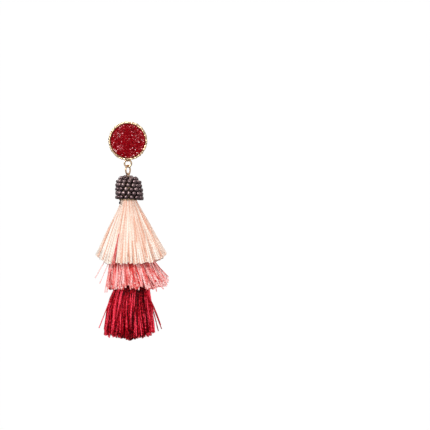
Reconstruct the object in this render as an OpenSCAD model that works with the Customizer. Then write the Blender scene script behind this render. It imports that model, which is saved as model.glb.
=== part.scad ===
// Tassel earring: a druzy stud with a loop, a jump ring, and a drop of three tassel tiers under a beaded cap.
// Millimetres. The origin is on the back of the stud, where the ear lobe sits. +Z is up, +Y goes into the ear,
// and the front faces -Y. The parts of the drop are all worked out downwards from the jump ring.

/* [Stud] */
// Diameter of the stud over its lumpy rim
disc_d = 16; // [14:0.5:20]
// Depth of the cup from its back to the middle of its rolled rim
cup_depth = 2.8; // [2.6:0.1:3.6]
// Thickness of the cup's wall and back
cup_wall = 0.6; // [0.5:0.05:0.8]
// Radius of a gilt lump on the rim
lump_r = 0.48; // [0.4:0.02:0.6]
// Number of gilt lumps round the rim
lump_n = 40; // [24:4:44]
// Height of the stone's middle above its edge
stone_rise = 1.5; // [0.8:0.1:2.2]
// Number of crystals in the stone's crust
crystal_n = 110; // [80:5:140]

/* [Ear post] */
// Diameter of the pin through the ear
post_d = 0.8; // [0.7:0.05:1]
// Length of the pin behind the lobe's face of its pad
post_len = 10.6; // [9:0.2:12]
// Diameter of the pad that is glued to the stud
pad_d = 6; // [4:0.5:8]
// Thickness of the pad
pad_t = 0.5; // [0.4:0.1:0.8]

/* [Loop and jump ring] */
// Mean radius of the fixed loop under the stud
loop_r = 1.42; // [1.3:0.02:1.8]
// Wire diameter of the fixed loop
loop_wire = 0.7; // [0.6:0.05:0.8]
// Mean radius of the jump ring
link_r = 1.95; // [1.9:0.05:2.3]
// Wire diameter of the jump ring
link_wire = 0.6; // [0.5:0.05:0.7]
// Turn of the jump ring's plane away from the plane of the stud, in degrees
link_turn = 65; // [60:1:80]
// Clearance where two rings hang in each other
play = 0.05; // [0.04:0.01:0.08]

/* [Beaded cap] */
// Diameter over the widest row of beads
cap_d = 11.9; // [11:0.1:14]
// Height from the middle of the lowest row of beads to the middle of the top row
cap_rows_h = 8.45; // [8.2:0.05:10]
// Width of a bead
bead_w = 2.2; // [2:0.05:2.4]
// Height of a bead along its hole
bead_h = 1.6; // [1.5:0.05:1.7]
// Wall of the gilt bell inside the beads
bell_wall = 0.4; // [0.3:0.05:0.5]

/* [Cord] */
// Thread diameter of the cord's eye
eye_thread = 0.44; // [0.36:0.02:0.5]
// Diameter of the cord below its eye
cord_d = 0.9; // [0.8:0.05:1.1]
// Diameter of a knot in the cord
knot_d = 2.2; // [1.8:0.1:2.6]
// Distance of a knot below the neck of its tier
knot_drop = 3; // [2.6:0.1:3.4]

/* [Locks and heads] */
// Thickness of a lock where it leaves the neck
lock_neck_t = 1.6; // [1.4:0.1:1.8]
// Thickness of a lock of the two upper tiers at its tips
lock_tip_t = 1.8; // [1.6:0.1:2.2]
// Most that a lock is longer or shorter than its neighbours
ragged_len = 0.35; // [0.1:0.05:0.5]
// Most that the tips of a lock stand out from its neighbours
uneven_w = 0.12; // [0.05:0.01:0.2]
// Shift of the three necks to the right of the cord
neck_shift = 0.3; // [0:0.05:0.4]
// Radius of the bound neck of the two lower tiers
neck_r = 2.7; // [2.6:0.05:2.9]
// Height of the bound head of the two lower tiers
head_h = 4.2; // [3.8:0.1:4.6]
// Thickness of the thread that ties a neck
tie_t = 0.2; // [0.1:0.02:0.3]

/* [Peach tier] */
// Width over the tips
peach_w = 28.7; // [26:0.5:32]
// Depth over the tips, from front to back
peach_depth = 21; // [20:0.5:23]
// Length of the middle locks below the cap
peach_len = 25.8; // [24:0.2:28]
// Shift of the tips to the right
peach_lean = 1.2; // [0:0.1:1.6]
// Number of locks round the tier
peach_locks = 22; // [18:1:24]

/* [Coral tier] */
// Width over the tips
coral_w = 25.2; // [24:0.5:26]
// Depth over the tips, from front to back
coral_depth = 16.6; // [16:0.2:17]
// Length of the middle locks below their tie
coral_len = 22.6; // [21:0.2:24]
// Shift of the tips to the right
coral_lean = 3.4; // [2:0.1:3.6]
// Number of locks round the tier
coral_locks = 20; // [16:1:22]

/* [Crimson tier] */
// Width over the tips
crimson_w = 21.2; // [19:0.2:22]
// Depth over the tips, from front to back
crimson_depth = 15.4; // [14:0.2:16]
// Length of the middle locks below their tie
crimson_len = 28; // [26:0.2:30]
// Shift of the tips to the right
crimson_lean = 0.6; // [0:0.1:1.4]
// Number of locks round the tier
crimson_locks = 18; // [14:1:20]

/* [Hidden] */
$fn = 48;

gold = [0.83, 0.68, 0.42];
ruby = [0.62, 0.04, 0.12];
gunmetal = [0.27, 0.24, 0.26];
ecru = [0.86, 0.76, 0.6];
peach = [0.98, 0.86, 0.79];
coral = [0.88, 0.4, 0.42];
crimson = [0.66, 0.05, 0.18];

// Air between two pieces that are glued or sewn together
gap = play;

// Stud, measured forwards from the lobe's face
cup_back = pad_t + play * 0.4;
rim_y = -(cup_back + cup_depth);
lump_ring_r = disc_d / 2 - lump_r;
cup_r = lump_ring_r + lump_r * 0.4;
stone_r = min(cup_r - cup_wall, lump_ring_r - lump_r) - gap;
stone_back = cup_back + cup_wall + gap;

// The drop hangs in the middle of the cup's thickness
hang_y = -(cup_back + cup_depth * 0.607);
loop_z = -(cup_r + loop_wire * 0.17 + loop_r);
loop_low_z = loop_z - loop_r;
link_z = loop_low_z + loop_wire / 2 + play + link_wire / 2 - link_r;
link_low_z = link_z - link_r;

// Cord
eye_r = link_wire / 2 + play * 2 + eye_thread / 2;
cord_hole_r = cord_d * 0.667;

// Beaded cap: a row for each ring of beads, from the lowest to the top one
ROW_UP = 0; // column: share of the height between the lowest and the top row
ROW_OUT = 1; // column: share of the lowest row's radius
cap_rows = [
    [0, 1], [0.195, 1], [0.39, 0.96], [0.58, 0.955], [0.77, 0.885], [0.925, 0.72], [1, 0.42]
];
row_r = cap_d / 2 - bead_w / 2;
row_top_z = link_low_z - bead_h * 0.58;
row_low_z = row_top_z - cap_rows_h;
cap_mouth_z = row_low_z - bead_h * 0.69;
cap_inner_r = row_r - bead_w / 2;
bell_r = cap_inner_r - gap;
bell_round = bell_r * 0.64;
bell_top_z = row_top_z - bead_h / 2 - gap;

// Tiers: the height of each neck, and the heads above them
peach_z = cap_mouth_z + bell_wall * 0.25;
coral_z = peach_z - peach_len * 0.52;
crimson_z = coral_z - coral_len * 0.715;
cord_end_z = crimson_z - knot_drop;
peach_neck_r = bell_r - bell_wall - gap * 2.4;
peach_head_h = bell_top_z - bell_wall - peach_z - gap * 5;

// Outline of a tier from its neck to its tips
DOWN = 0; // column: share of the way down
OUT = 1; // column: share of the way out from the neck to the tips
straight = [[-0.06, -0.12], [0.5, 0.52], [1, 1]];
bell = [[-0.04, -0.1], [0.4, 0.59], [1, 1]];
round_bell = [[-0.03, -0.06], [0.3, 0.64], [1, 1]];

// Numbers between -1 and 1 that differ from lock to lock
function jitter(count, seed) = rands(-1, 1, count, seed);

// A ring of round wire standing in the XZ plane
module wire_ring(mean_r, wire) {
    rotate([90, 0, 0])
        rotate_extrude()
            translate([mean_r, 0])
                circle(d = wire);
}

// The gilt cup, its lumpy rim and the loop that is soldered under it
module setting() {
    color(gold)
        union() {
            difference() {
                rotate([90, 0, 0])
                    translate([0, 0, cup_back])
                        cylinder(r = cup_r, h = cup_depth);
                rotate([90, 0, 0])
                    translate([0, 0, cup_back + cup_wall])
                        cylinder(r = cup_r - cup_wall, h = cup_depth);
            }
            translate([0, rim_y, 0])
                wire_ring(lump_ring_r, lump_r * 1.5);
            for (i = [0 : lump_n - 1])
                rotate([0, 360 * (i + 0.5) / lump_n, 0])
                    translate([lump_ring_r, rim_y - lump_r * 0.4, 0])
                        sphere(r = lump_r);
            translate([0, hang_y, loop_z])
                wire_ring(loop_r, loop_wire);
            translate([0, hang_y, loop_z + loop_r - loop_wire * 0.15])
                cylinder(d = loop_wire * 1.3, h = loop_wire * 0.85);
        }
}

// One crystal of the crust: a six-sided point with a small blunt end
module crystal(radius, height) {
    hull() {
        cylinder(r = radius, h = height * 0.4, $fn = 6);
        cylinder(r = radius * 0.3, h = height, $fn = 6);
    }
}

// The druzy: a low dome under a crust of crystals that are set out like the seeds of a sunflower
module druzy_stone() {
    side_h = -rim_y - lump_r * 0.83 - stone_back;
    crystal_r = stone_r * 1.2 / sqrt(crystal_n);
    tilts = jitter(crystal_n, 5);
    heights = jitter(crystal_n, 6);
    color(ruby)
        rotate([90, 0, 0])
            translate([0, 0, stone_back]) {
                hull() {
                    cylinder(r = stone_r, h = side_h);
                    cylinder(r = stone_r * 0.6, h = side_h + stone_rise * 0.6, $fn = 32);
                }
                for (i = [0 : crystal_n - 1]) {
                    share = sqrt((i + 0.5) / crystal_n);
                    rotate([0, 0, i * 137.508])
                        translate([(stone_r - crystal_r) * share, 0, side_h - crystal_r * 1.25])
                            rotate([tilts[i] * 9, share * 14 + tilts[i] * 5, i * 40])
                                crystal(
                                    crystal_r,
                                    crystal_r * (1.62 + heights[i] * 0.31) + stone_rise * (1 - share * share)
                                );
                }
            }
}

// The pad on the back of the stud and the pin through the ear
module ear_post() {
    color(gold)
        rotate([-90, 0, 0])
            union() {
                translate([0, 0, -pad_t])
                    cylinder(d = pad_d, h = pad_t);
                translate([0, 0, -pad_t / 2])
                    cylinder(d = post_d, h = post_len - post_d / 2 + pad_t / 2);
                translate([0, 0, post_len - post_d / 2])
                    sphere(d = post_d);
            }
}

// The jump ring, turned away from the picture plane
module jump_ring() {
    color(gold)
        translate([0, hang_y, link_z])
            rotate([0, 0, link_turn])
                wire_ring(link_r, link_wire);
}

// The cord: an eye round the jump ring, a run through the three heads, and a knot below each head
module hanging_cord() {
    color(ecru)
        translate([0, hang_y, 0])
            union() {
                translate([0, 0, link_low_z])
                    rotate([0, 0, link_turn + 90])
                        wire_ring(eye_r, eye_thread);
                translate([0, 0, cord_end_z])
                    cylinder(d = cord_d, h = link_low_z - eye_r - cord_end_z);
                for (z = [peach_z - knot_drop, coral_z - knot_drop, cord_end_z])
                    translate([0, 0, z])
                        sphere(d = knot_d);
            }
}

// Half of a bell's outline: a straight side, a rounded shoulder and a flat top
module bell_outline(outer_r, top_z, low_z) {
    round_r = outer_r * 0.64;
    translate([0, low_z])
        square([outer_r, top_z - round_r - low_z]);
    translate([0, top_z - round_r * 1.01])
        square([outer_r - round_r, round_r * 1.01]);
    intersection() {
        translate([outer_r - round_r, top_z - round_r])
            circle(r = round_r);
        translate([0, top_z - round_r])
            square([outer_r, round_r]);
    }
}

// The gilt bell inside the beads, whose rim shows below them
module cap_liner() {
    color(gold)
        translate([0, hang_y, 0])
            difference() {
                rotate_extrude()
                    bell_outline(bell_r, bell_top_z, cap_mouth_z);
                rotate_extrude()
                    bell_outline(bell_r - bell_wall, bell_top_z - bell_wall, cap_mouth_z - bell_wall);
                translate([0, 0, cap_mouth_z])
                    cylinder(r = cord_hole_r, h = bell_top_z - cap_mouth_z + bell_wall);
            }
}

// The rows of beads: a round ring for each row on a wall that follows the bell
module bead_cap() {
    ring_r = bead_h / 2;
    color(gunmetal)
        translate([0, hang_y, 0])
            difference() {
                union() {
                    rotate_extrude()
                        bell_outline(row_r, row_top_z, row_low_z - ring_r);
                    for (row = cap_rows)
                        translate([0, 0, row_low_z + row[ROW_UP] * cap_rows_h])
                            rotate_extrude()
                                translate([row[ROW_OUT] * row_r + (bead_w - bead_h) / 2, 0])
                                    circle(r = ring_r);
                }
                rotate_extrude()
                    bell_outline(cap_inner_r, bell_top_z + gap, row_low_z - bead_h);
                translate([0, 0, row_low_z])
                    cylinder(r = row_r * 0.42 - bead_w / 2, h = cap_rows_h * 2);
            }
}

// One cut across a lock: a thin eight-sided slab, turned to face out of the skirt
module lock_cut(angle, neck_r, half_w, half_depth, lean, down, out, thick, count, drop) {
    rx = neck_r + (half_w - neck_r) * out;
    ry = neck_r + (half_depth - neck_r) * out;
    half_run = norm([rx * sin(angle), ry * cos(angle)]) * PI / count;
    translate([lean * down + (rx - thick) * cos(angle), (ry - thick) * sin(angle), -drop * down])
        rotate([0, 0, atan2(rx * sin(angle), ry * cos(angle))])
            scale([thick, half_run * 1.12, thick])
                cylinder(r = 1, h = 0.4, $fn = 8);
}

// A ring of locks that spread from a neck to ragged tips, longest in the middle of the front and back
module lock_ring(neck_r, width, depth, lean, length, side_share, outline, count, thin, thick, seed) {
    lengths = jitter(count, seed);
    widths = jitter(count, seed + 1);
    turns = jitter(count, seed + 2);
    for (i = [0 : count - 1]) {
        angle = 360 * (i + 0.5 + turns[i] * 0.14) / count;
        shorter = side_share + (1 - side_share) * (1 - pow(abs(cos(angle)), 2.4));
        drop = length * shorter + ragged_len * lengths[i];
        for (k = [0 : len(outline) - 2])
            hull()
                for (cut = [outline[k], outline[k + 1]])
                    lock_cut(
                        angle, neck_r, width / 2 + uneven_w * widths[i], depth / 2 + uneven_w * widths[i], lean,
                        cut[DOWN], cut[OUT], thin + (thick - thin) * max(cut[DOWN], 0), count, drop
                    );
    }
}

// A bound head round the cord: a straight neck with a rounded top, the turns of thread that tie it, and the
// root of the locks below it, with the way through for the cord and its knot
module bound(radius, height) {
    root = knot_drop * 0.53;
    translate([-neck_shift, 0, 0]) {
        hull() {
            cylinder(r = radius, h = height * 0.6, $fn = 24);
            cylinder(r = radius * 0.5, h = height, $fn = 24);
        }
        translate([0, 0, -root])
            cylinder(r = radius * 0.88, h = root * 1.1, $fn = 24);
    }
}

// The way through a head for the cord and its knot
module cord_way(height) {
    knot_room = knot_d * 0.6;
    translate([-neck_shift, 0, -knot_drop]) {
        cylinder(r = cord_hole_r, h = knot_drop + height * 1.1, $fn = 16);
        translate([0, 0, -knot_room * 3])
            cylinder(r = knot_room, h = knot_room * 4, $fn = 16);
    }
}

// The top tassel: its head fills the bell and its locks hang round the coral tier's head
module peach_tier() {
    color(peach)
        translate([neck_shift, hang_y, peach_z])
            difference() {
                union() {
                    lock_ring(
                        peach_neck_r, peach_w, peach_depth, peach_lean - neck_shift, peach_len, 0.83, straight,
                        peach_locks, lock_neck_t / 2, lock_tip_t / 2, 11
                    );
                    bound(peach_neck_r * 0.985, peach_head_h);
                }
                cord_way(peach_head_h);
            }
}

// The middle tassel, which leans to the right
module coral_tier() {
    color(coral)
        translate([neck_shift, hang_y, coral_z])
            difference() {
                union() {
                    lock_ring(
                        neck_r, coral_w, coral_depth, coral_lean - neck_shift, coral_len, 0.95, bell,
                        coral_locks, lock_neck_t / 2, lock_tip_t / 2, 23
                    );
                    bound(neck_r, head_h);
                    translate([-neck_shift, 0, 0])
                        cylinder(r = neck_r + tie_t, h = head_h * 0.25, $fn = 24);
                }
                cord_way(head_h);
            }
}

// The lowest tassel, which is full down to its tips: two smaller rings of locks fill it
module crimson_tier() {
    core_r = neck_r * 0.67;
    tip_t = lock_tip_t * 0.72;
    color(crimson)
        translate([neck_shift, hang_y, crimson_z])
            difference() {
                union() {
                    lock_ring(
                        neck_r, crimson_w, crimson_depth, crimson_lean - neck_shift, crimson_len, 0.86, round_bell,
                        crimson_locks, lock_neck_t / 2, tip_t, 35
                    );
                    lock_ring(
                        (neck_r + core_r) / 2, crimson_w * 0.76, crimson_depth * 0.7, crimson_lean - neck_shift,
                        crimson_len, 0.94, round_bell, 11, lock_neck_t / 2, tip_t * 1.3, 47
                    );
                    lock_ring(
                        core_r, crimson_w * 0.42, crimson_depth * 0.32, crimson_lean - neck_shift,
                        crimson_len, 0.98, round_bell, 6, lock_neck_t / 2, tip_t * 1.08, 59
                    );
                    bound(neck_r, head_h * 0.86);
                    translate([-neck_shift, 0, 0])
                        cylinder(r = neck_r + tie_t, h = head_h * 0.21, $fn = 24);
                }
                cord_way(head_h);
            }
}

setting();
druzy_stone();
ear_post();
jump_ring();
hanging_cord();
cap_liner();
bead_cap();
peach_tier();
coral_tier();
crimson_tier();
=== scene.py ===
"""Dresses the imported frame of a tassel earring: druzy stud, ring, seed-bead cap and three thread tiers."""

import math
from types import SimpleNamespace

import bmesh
import bpy
import numpy as np
from bpy.props import FloatProperty, FloatVectorProperty, IntProperty, PointerProperty
from mathutils import Matrix, Vector, noise


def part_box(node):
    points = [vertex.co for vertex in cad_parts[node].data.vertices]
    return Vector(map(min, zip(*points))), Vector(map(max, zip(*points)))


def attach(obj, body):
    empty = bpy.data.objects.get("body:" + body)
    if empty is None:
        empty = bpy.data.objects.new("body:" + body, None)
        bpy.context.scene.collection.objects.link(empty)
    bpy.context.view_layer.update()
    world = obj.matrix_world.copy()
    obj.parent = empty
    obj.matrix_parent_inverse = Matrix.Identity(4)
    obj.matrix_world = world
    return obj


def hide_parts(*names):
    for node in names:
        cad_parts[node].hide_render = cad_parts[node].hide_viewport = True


bl_info = {
    "name": "Tassel Earring",
    "version": (1, 0, 0),
    "blender": (4, 5, 0),
    "location": "View3D > Sidebar > Earring",
    "description": "Builds a druzy stud earring with a beaded cap and three tiers of thread",
    "category": "Object",
}

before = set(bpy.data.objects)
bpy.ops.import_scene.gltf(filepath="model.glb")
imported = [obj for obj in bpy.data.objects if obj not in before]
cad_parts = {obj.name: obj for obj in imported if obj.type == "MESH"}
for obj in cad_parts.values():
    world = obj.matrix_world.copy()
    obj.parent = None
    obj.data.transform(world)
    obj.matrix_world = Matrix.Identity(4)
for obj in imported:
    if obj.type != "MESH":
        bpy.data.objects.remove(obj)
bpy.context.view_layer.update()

MM = 0.001

# Places read from the frame
SETTING_LOW, SETTING_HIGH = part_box("setting")
STONE_LOW, STONE_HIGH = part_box("druzy_stone")
RING_LOW, RING_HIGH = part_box("jump_ring")
CAP_LOW, CAP_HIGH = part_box("bead_cap")
HANG_Y = (RING_LOW.y + RING_HIGH.y) / 2
STUD_RADIUS = SETTING_HIGH.x
STONE_RADIUS = STONE_HIGH.x
CAP_RADIUS = CAP_HIGH.x

# Sizes of the metal: the wall of the cup, the radii of the round wire of the rim and of the loop, and the
# middle radius of the loop
CUP_WALL = 0.6 * MM
RIM_WIRE = 0.45 * MM
LOOP_WIRE = 0.35 * MM
LOOP_RADIUS = 1.42 * MM

# Rows of beads from the lowest to the top one. up is the row's place as a share of ROWS_HEIGHT, out its
# radius as a share of the lowest row's, turn how far it is turned round the bell, in beads, and lean how
# far the holes of its beads lean inwards, in degrees.
ROWS_HEIGHT = 8.45 * MM
BEAD_ROWS = (
    {"up": 0.0, "out": 1.0, "beads": 14, "turn": 0.5, "lean": 0},
    {"up": 0.195, "out": 0.985, "beads": 14, "turn": 0.0, "lean": 0},
    {"up": 0.39, "out": 0.975, "beads": 14, "turn": 0.5, "lean": 4},
    {"up": 0.58, "out": 0.94, "beads": 14, "turn": 0.0, "lean": 8},
    {"up": 0.765, "out": 0.855, "beads": 12, "turn": 0.25, "lean": 20},
    {"up": 0.905, "out": 0.65, "beads": 9, "turn": 0.5, "lean": 44},
    {"up": 0.955, "out": 0.33, "beads": 4, "turn": 0.5, "lean": 74},
)

# Outlines of the tiers: share of the way down, and share of the way out from the neck to the tips
STRAIGHT = ((0, 0), (0.04, 0.01), (0.16, 0.12), (0.5, 0.49), (1, 1))
FLARED = ((0, 0), (0.1, 0.08), (0.4, 0.32), (0.55, 0.44), (0.75, 0.62), (1, 1))
BELL = ((0, 0), (0.1, 0.2), (0.32, 0.52), (0.55, 0.71), (1, 1))
ROUND_BELL = ((0, 0), (0.12, 0.3), (0.3, 0.58), (0.65, 0.84), (1, 1))

# The tiers from the top down: a column each for the peach, the coral and the crimson one
TIER_TABLE = {
    # Shape, with lengths in millimetres
    "left": (STRAIGHT, BELL, ROUND_BELL),  # outline of the left side
    "right": (STRAIGHT, FLARED, ROUND_BELL),  # outline of the right side
    "neck": (3.18, 2.7, 2.7),  # radius of the bound neck
    "length": (25.8, 22.6, 28.2),  # from the neck down to the middle tips
    "head": (7.6, 4.0, 3.4),  # height of the head above the neck
    "side": (0.86, 1.01, 0.885),  # length of the side threads, as a share of the length
    "corner": (5.0, 2.4, 0.64),  # how sharply the cut turns up to the side threads
    "low_left": (0.8, 2.3, 0.3),  # how much lower the left tips are than the right ones
    "ragged": (0.4, 1.3, 0.9),  # unevenness of the cut
    "longest": (0.5, 0.9, 0.15),  # how far a thread may pass the length
    "wider": (0.3, 0.1, 0.2),  # how far loose tips stand out of the solid's box
    "aside": (0.1, 0.75, 0.2),  # how far the tips' middle is right of the box's middle
    "shift": (0.3, 0.3, 1.0),  # how far the neck is right of the cord
    "drift": (0.3, 0.3, 1.1),  # how much further right the threads are a little below the neck
    # Threads
    "inner": (0.9, 0.82, 0.0),  # share of the radius that stays hollow
    "skin": (0.5, 0.5, 0.3),  # crowds threads towards the skin when it is small
    "tuck": (6.0, 3.0, 0.0),  # how many millimetres shorter a middle thread is than an outer one
    "yarns": (84, 100, 96),  # strands round the tier
    "loose": (0.85, 0.5, 0.4),  # share of its width that a strand keeps at the tips
    "clumps": (42, 33, 24),  # bundles of strands
    "gather": (0.4, 0.5, 0.35),  # how far a bundle closes up at its tips
    "recess": (0.04, 0.12, 0.18),  # how far some bundles sink in, which also paints shade on them
    "crossing": (0.03, 0.065, 0.06),  # how far threads wander round the tier, in radians
    "wave": (0.15, 0.4, 0.35),  # how far threads bend to the sides, in millimetres
    "open": (0.9, 0.5, 0.3),  # how much thicker threads are at their tips
    # Tones, from 0 for the dye's deep colour to 1 for the light one; besides the dye's own differences they
    # hold painted shade and painted light
    "tone": (0.82, 0.785, 0.97),  # the middle one
    "tint": (0.04, 0.03, 0.05),  # how much bundles differ from it
    "streak": (0.14, 0.36, 0.34),  # how much strands differ from it
    "furrow_shade": (0.85, 1.1, 0.75),  # painted shade in the furrows between strands
    "faint": (0.5, 0.0, 0.0),  # share of that which is missing at the sides
    "depth": (0.1, 0.3, 0.35),  # painted shade on the inner threads
    "shade": (0.3, 0.32, 1.1),  # painted shade at the neck, under the cap or the tier above
    "covered": (0.8, 0.65, 0.42),  # share of the length in which that fades
    "painted_light_slant": (-0.15, 0.36, -0.13),  # painted light on the right side and painted shade on the left one
    "sides": (-0.1, 0.25, -0.12),  # painted light on both sides, or painted shade where it is below 0
    "painted_light_bands": (0.0, 0.0, 0.22),  # depth of broad stripes of painted highlight and shade
    "tips": (0.0, 0.0, 0.6),  # painted shade on the tips at the front and the back
}
TIERS = {
    node: {name: row[column] for name, row in TIER_TABLE.items()}
    for column, node in enumerate(("peach_tier", "coral_tier", "crimson_tier"))
}

# Shares of a thread's way from the neck to the tip at which its route has points
SHARES = np.array([0.0, 0.06, 0.15, 0.28, 0.44, 0.62, 0.81, 1.0])[None, :]

# The broad stripes of painted highlight and shade: their number round a tier and the place of a light one
BANDS = 7
BANDS_TURN = math.radians(-87)

# The parting in the peach tier: its place, how far the threads beside it move apart and how far round it
# reaches
PARTING = {"turn": math.radians(-119), "width": 0.01, "reach": 0.13}

# Single threads that spring away from a tier: the tone, and points in millimetres right of the cord, behind
# it and above the stud's middle. The second, third and fourth of the coral ones lie in the parting of the
# peach tier, and their low tones are painted shade inside the parting.
CORAL_STRAYS = (
    (0.95, ((-2.2, -0.4, -38), (-6.2, -1.5, -44), (-10.6, -2.6, -51.3), (-13.3, -3.0, -56.2))),
    (0.22, (
        (-1.4, -2.2, -34), (-3.2, -5.4, -36.5), (-3.75, -6.8, -39), (-4.25, -7.8, -42), (-4.75, -8.7, -46),
        (-5.4, -9.8, -50.4),
    )),
    (0.3, (
        (-1.5, -2.2, -35), (-3.4, -5.7, -38.6), (-4.3, -7.2, -41.8), (-5.2, -8.4, -45.8), (-6.2, -9.6, -50.8),
    )),
    (0.26, (
        (-1.5, -2.2, -35), (-3.5, -5.9, -39.4), (-4.2, -7.6, -43), (-4.7, -8.6, -46.2), (-5.3, -9.7, -50.6),
    )),
    (0.95, ((-2.2, -0.8, -38), (-5.4, -2.2, -45), (-8.8, -3.4, -52.1), (-11.4, -4.0, -58.4))),
    (0.75, ((-2.2, -0.9, -38), (-5.4, -3.2, -46), (-8.0, -4.4, -54.0), (-9.3, -4.8, -62.2))),
    (0.6, ((-2.2, -1.2, -38), (-5.2, -4.2, -46), (-7.4, -5.4, -54.0), (-8.4, -5.8, -62.0))),
    (0.6, ((2.4, -1.0, -38), (7.6, -3.2, -45), (12.2, -4.2, -52.0), (16.2, -4.6, -59.0))),
    (0.5, ((2.4, -0.6, -38), (7.0, -2.0, -45), (11.2, -2.6, -51.0), (15.3, -2.9, -56.4))),
    (0.8, ((2.4, -0.9, -38), (7.9, -3.9, -46), (11.4, -5.0, -53.0), (14.6, -5.6, -60.8))),
    (0.4, ((2.4, -1.2, -38), (7.2, -4.6, -46), (10.2, -6.0, -54.0), (11.9, -6.4, -61.6))),
)
CRIMSON_STRAYS = (
    (0.7, ((-2.4, -0.5, -54), (-6.2, -2.6, -62), (-8.9, -3.2, -69.5), (-11.7, -3.4, -76.6))),
    (0.5, ((-2.4, -1.2, -54), (-6.0, -3.5, -62), (-8.6, -4.4, -70), (-9.4, -4.4, -76))),
    (0.5, ((2.6, -0.6, -54), (8.2, -2.8, -63), (11.2, -3.2, -70.0), (13.9, -3.4, -77.0))),
    (0.35, ((2.6, -0.9, -54), (8.0, -3.4, -63), (10.7, -4.0, -70.2), (12.6, -4.3, -77.8))),
    (0.6, ((2.6, -0.3, -54), (8.4, -2.0, -63), (11.5, -2.4, -69.5), (13.5, -2.6, -75.4))),
    (0.5, ((2.6, -0.7, -54), (8.1, -3.0, -63), (10.9, -3.6, -70.4), (12.2, -3.8, -76.6))),
)

# The dyes beside each thread's main colour: the deep tone, which also serves as painted shade, the light one,
# which also serves as painted highlight, the painted shade where plies meet, how much the tone changes along
# a thread, the gloss, and the strength of the soft sheen
DYES = {
    "peach_thread": {
        "deep": (0.64, 0.34, 0.24), "light": (0.75, 0.7, 0.65), "groove_shade": (0.82, 0.74, 0.72),
        "mottle": 0.5, "gloss": 0.22, "sheen": 0.12,
    },
    "coral_thread": {
        "deep": (0.6, 0.036, 0.034), "light": (0.9, 0.58, 0.56), "groove_shade": (0.6, 0.46, 0.46),
        "mottle": 1.0, "gloss": 0.2, "sheen": 0.12,
    },
    "crimson_thread": {
        "deep": (0.045, 0.0002, 0.0015), "light": (0.88, 0.055, 0.1), "groove_shade": (0.35, 0.28, 0.28),
        "mottle": 1.3, "gloss": 0.05, "sheen": 0.02,
    },
    "ecru_cord": {
        "deep": (0.4, 0.25, 0.13), "light": (0.85, 0.7, 0.5), "groove_shade": (0.72, 0.66, 0.66),
        "mottle": 0.5, "gloss": 0.3, "sheen": 0.3,
    },
}


# Settings


def size_setting(name, description, default):
    """A setting that is a length in metres."""
    return FloatProperty(name=name, description=description, default=default, unit="LENGTH")


def colour_setting(name, description, default):
    """A setting that is a colour."""
    return FloatVectorProperty(name=name, description=description, default=default, subtype="COLOR")


class StudSettings(bpy.types.PropertyGroup):
    """Sizes and colours of the stud and the jump ring"""

    crystals: IntProperty(
        name="Crystals", description="Crystals in the druzy's crust", default=1250, min=200, max=1400
    )
    crystal_radius: size_setting("Crystal radius", "Middle radius of one crystal", 0.31 * MM)
    stone_colour: colour_setting("Stone", "Deep red of the druzy", (0.215, 0.0005, 0.004))
    gilt_colour: colour_setting("Gilt", "Pale gold of the metal", (0.78, 0.55, 0.34))
    ring_colour: colour_setting("Ring", "Warmer gold of the jump ring", (0.8, 0.46, 0.23))
    lumps: IntProperty(name="Lumps", description="Number of lumps round the rim", default=40, min=20, max=60)


class CapSettings(bpy.types.PropertyGroup):
    """Sizes and colours of the seed-bead cap"""

    bead_width: size_setting("Bead width", "Width of a seed bead", 2.14 * MM)
    bead_height: size_setting("Bead height", "Height along the hole", 1.64 * MM)
    hole_radius: size_setting("Hole radius", "Radius of a bead's hole", 0.3 * MM)
    bead_colour: colour_setting("Beads", "Gunmetal of the beads", (0.13, 0.094, 0.09))


class ThreadSettings(bpy.types.PropertyGroup):
    """Sizes and colours of the threads"""

    thickness: size_setting("Thickness", "Thickness of one thread", 0.4 * MM)
    wall_threads: IntProperty(
        name="Threads in a wall", description="Threads in each of the two upper tiers", default=1350, min=100
    )
    full_threads: IntProperty(
        name="Threads in the lowest tier", description="Threads of the full tier", default=1500, min=100
    )
    peach_colour: colour_setting("Peach", "Light colour of the top tier", (0.75, 0.63, 0.54))
    coral_colour: colour_setting("Coral", "Colour of the middle tier", (0.8, 0.27, 0.25))
    crimson_colour: colour_setting("Crimson", "Colour of the lowest tier", (0.4, 0.002, 0.01))
    cord_colour: colour_setting("Cord", "Colour of the hanging cord", (0.72, 0.52, 0.32))


class StageSettings(bpy.types.PropertyGroup):
    """Camera, lamps and backdrop"""

    camera_distance: size_setting("Camera distance", "Distance of the camera", 1.0)
    picture_width: size_setting("Picture width", "Width that the picture shows", 176.3 * MM)
    picture_x: size_setting("Picture middle", "Place of the picture's middle", 35.7 * MM)
    picture_z: size_setting("Picture height", "Height of its middle", -30.4 * MM)
    floor_z: size_setting("Floor height", "Height of the floor under the earring", -0.7)
    wall_radius: size_setting("Wall radius", "Radius of the round wall", 1.8)


# Materials


def new_material(name):
    """A material with nodes, and its Principled BSDF."""
    material = bpy.data.materials.new(name)
    material.use_nodes = True
    tree = material.node_tree
    return material, tree.nodes, tree.links, tree.nodes["Principled BSDF"]


def set_inputs(node, **values):
    """Sets inputs of a node to constants. Spaces in an input's name are written as low lines."""
    for name, value in values.items():
        node.inputs[name.replace("_", " ")].default_value = value


def dress(obj, material):
    """Gives every material slot of a piece one material."""
    obj.data.materials.clear()
    obj.data.materials.append(material)
    for polygon in obj.data.polygons:
        polygon.material_index = 0


def add_socket(group, name, default=None, output=False):
    """A named number socket on a node group."""
    way = "OUTPUT" if output else "INPUT"
    socket = group.interface.new_socket(name, in_out=way, socket_type="NodeSocketFloat")
    if default is not None:
        socket.default_value = default


def feed(links, value, socket):
    """Links a socket into another one, or sets that one to a number."""
    if isinstance(value, bpy.types.NodeSocket):
        links.new(value, socket)
    elif value is not None:
        socket.default_value = value


def math_node(nodes, links, operation, first, second=None, third=None):
    """A Math node whose inputs are sockets or numbers."""
    node = nodes.new("ShaderNodeMath")
    node.operation = operation
    for place, value in enumerate((first, second, third)):
        feed(links, value, node.inputs[place])
    return node.outputs[0]


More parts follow.
